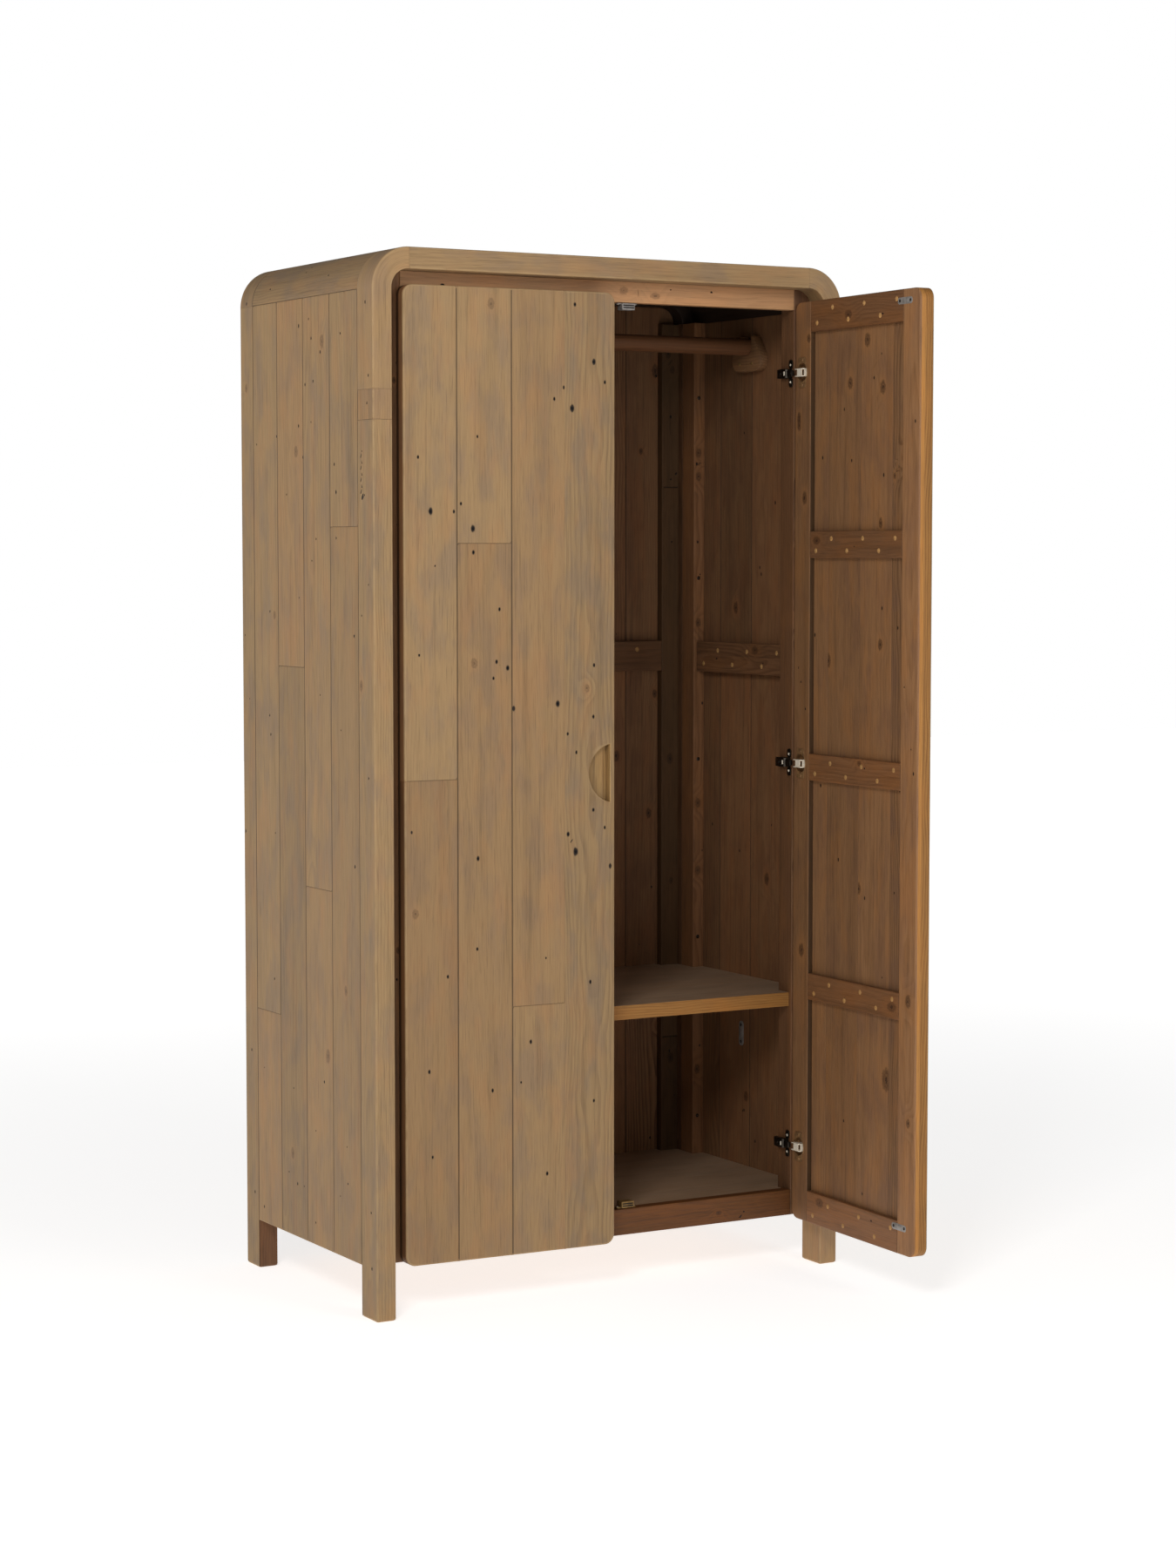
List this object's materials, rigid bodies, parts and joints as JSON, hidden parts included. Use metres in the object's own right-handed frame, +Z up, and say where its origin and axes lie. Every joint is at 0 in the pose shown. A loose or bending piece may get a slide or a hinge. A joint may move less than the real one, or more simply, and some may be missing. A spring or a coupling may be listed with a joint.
{
  "type": "two-door armoire",
  "caption": "Tall wooden armoire with a rounded outer frame, board sides and two ledged board doors on concealed hinges over a shelf and a clothes rail.",
  "frame": {"origin": "on the floor, at the middle of the space that the armoire takes up with its right door standing open", "axes": "+X to the right seen from the front, -Y out of the front, +Z up"},
  "size_m": [1.036, 1.001, 2],
  "materials": {
    "weathered_pine": "matt, grey-brown weathered stain",
    "facing_pine": "matt, warmer brown stain",
    "inside_pine": "matt, thin brown wash",
    "batten_pine": "matt, brown stain",
    "door_back_pine": "matt, thin brown wash",
    "honey_pine": "satin, honey-coloured edge",
    "dark_steel": "satin, dark plated",
    "bright_nickel": "satin, nickel plated"
  },
  "bodies": {
    "case": {"front_post_left": "weathered_pine", "front_post_right": "weathered_pine", "front_corner_left": "weathered_pine", "front_corner_right": "weathered_pine", "front_top_rail": "weathered_pine", "rear_post_left": "weathered_pine", "rear_post_right": "weathered_pine", "rear_arch": "weathered_pine", "side_panel_left": "weathered_pine", "side_panel_right": "weathered_pine", "corner_panel_left": "weathered_pine", "corner_panel_right": "weathered_pine", "top_panel": "weathered_pine", "face_stile_left": "facing_pine", "face_stile_right": "facing_pine", "face_rail_top": "facing_pine", "face_rail_bottom": "facing_pine", "back_panel": "inside_pine", "back_stile_left": "inside_pine", "back_stile_right": "inside_pine", "back_batten": "batten_pine", "side_batten_left": "batten_pine", "side_batten_right": "batten_pine", "floor_panel": "inside_pine", "shelf": "honey_pine", "clothes_rod": "batten_pine", "rail_bracket_left": "batten_pine", "rail_bracket_right": "batten_pine", "bottom_catch_left": "bright_nickel", "bottom_catch_right": "bright_nickel", "top_catch_left": "bright_nickel", "top_catch_right": "bright_nickel", "hinge_arm_1_left": "dark_steel", "hinge_arm_1_right": "dark_steel", "hinge_arm_2_left": "dark_steel", "hinge_arm_2_right": "dark_steel", "hinge_arm_3_left": "dark_steel", "hinge_arm_3_right": "dark_steel"},
    "left_door": {"left_door_boards": "weathered_pine", "left_door_hinge_stile": "door_back_pine", "left_door_free_stile": "door_back_pine", "left_door_ledge_1": "door_back_pine", "left_door_ledge_2": "door_back_pine", "left_door_ledge_3": "door_back_pine", "left_door_ledge_4": "door_back_pine", "left_door_ledge_5": "door_back_pine", "left_door_hinge_cup_1": "bright_nickel", "left_door_hinge_cup_2": "bright_nickel", "left_door_hinge_cup_3": "bright_nickel"},
    "right_door": {"right_door_boards": "weathered_pine", "right_door_hinge_stile": "door_back_pine", "right_door_free_stile": "door_back_pine", "right_door_ledge_1": "door_back_pine", "right_door_ledge_2": "door_back_pine", "right_door_ledge_3": "door_back_pine", "right_door_ledge_4": "door_back_pine", "right_door_ledge_5": "door_back_pine", "right_door_hinge_cup_1": "bright_nickel", "right_door_hinge_cup_2": "bright_nickel", "right_door_hinge_cup_3": "bright_nickel"}
  },
  "joints": [
    {"name": "left_door_hinge", "type": "hinge", "parent": "case", "child": "left_door", "pos_m": [-0.444, -0.05746, 1.018], "axis": [0, 0, -1], "range_deg": [-1.8, 93.2]},
    {"name": "right_door_hinge", "type": "hinge", "parent": "case", "child": "right_door", "pos_m": [0.444, -0.05746, 1.018], "axis": [0, 0, 1], "range_deg": [-88, 7]}
  ]
}
